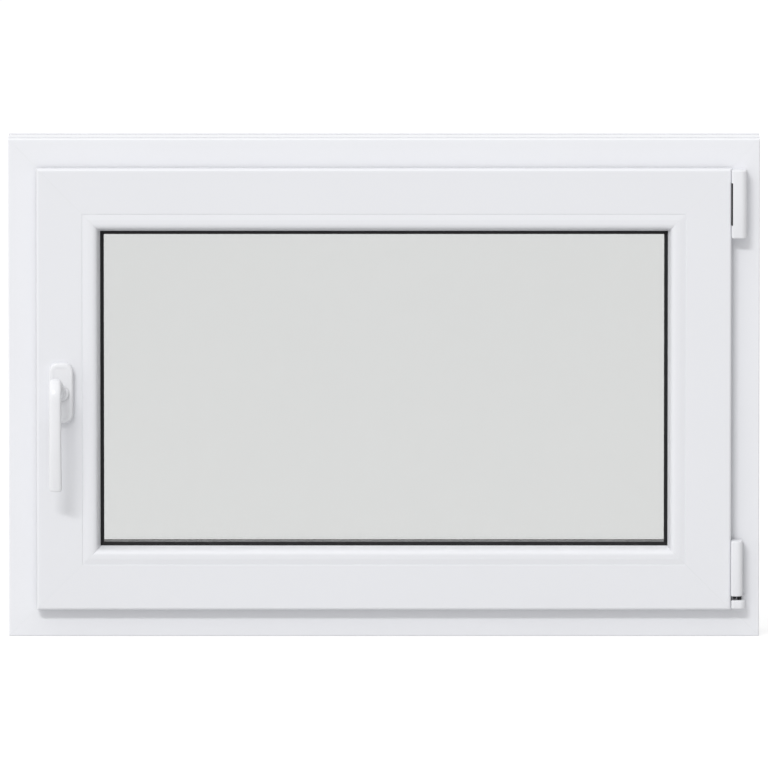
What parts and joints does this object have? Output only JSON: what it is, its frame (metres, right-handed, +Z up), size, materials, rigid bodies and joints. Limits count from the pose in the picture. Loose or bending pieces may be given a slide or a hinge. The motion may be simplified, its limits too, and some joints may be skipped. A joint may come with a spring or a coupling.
{
  "type": "tilt and turn window",
  "caption": "White plastic tilt and turn window: outer frame, closed sash with double glazing, beads, seals, hinge covers and a turning handle.",
  "frame": {"origin": "middle of the bottom face of the frame's sill, in width and in depth", "axes": "+X to the right as seen from the room, +Y from the room to the outside, +Z up"},
  "size_m": [0.9, 0.1457, 0.6],
  "materials": {
    "frame_plastic": "white extruded plastic with a low gloss",
    "sash_plastic": "white extruded plastic with a low gloss",
    "bead_plastic": "white extruded plastic with a low gloss",
    "handle_coating": "white powder coating, satin",
    "cover_plastic": "white moulded plastic, satin",
    "hinge_metal": "dark coated steel",
    "seal_rubber": "matt black",
    "gasket_rubber": "matt black",
    "pane_glass": "clear float glass",
    "spacer_metal": "matt grey"
  },
  "bodies": {
    "window": {"frame_sill": "frame_plastic", "frame_head": "frame_plastic", "frame_left_jamb": "frame_plastic", "frame_right_jamb": "frame_plastic", "drain_cap_left": "cover_plastic", "drain_cap_right": "cover_plastic", "sash_bottom_rail": "sash_plastic", "sash_top_rail": "sash_plastic", "sash_lock_stile": "sash_plastic", "sash_hinge_stile": "sash_plastic", "bead_bottom": "bead_plastic", "bead_top": "bead_plastic", "bead_left": "bead_plastic", "bead_right": "bead_plastic", "overlap_seal": "seal_rubber", "stop_seal": "seal_rubber", "inner_pane": "pane_glass", "outer_pane": "pane_glass", "glass_spacer": "spacer_metal", "inner_glazing_gasket": "gasket_rubber", "outer_glazing_gasket": "gasket_rubber", "handle_rosette": "handle_coating", "top_hinge_cover": "cover_plastic", "stay_band": "hinge_metal", "sash_hinge_cover": "cover_plastic", "pivot_rest_cover": "cover_plastic", "pivot_pin": "hinge_metal", "height_screw": "hinge_metal"},
    "handle": {"handle_lever": "handle_coating"}
  },
  "joints": [
    {"name": "handle_turn", "type": "hinge", "parent": "window", "child": "handle", "pos_m": [-0.3865, -0.0644, 0.297], "axis": [0, -1, 0], "range_deg": [0, 180]}
  ]
}
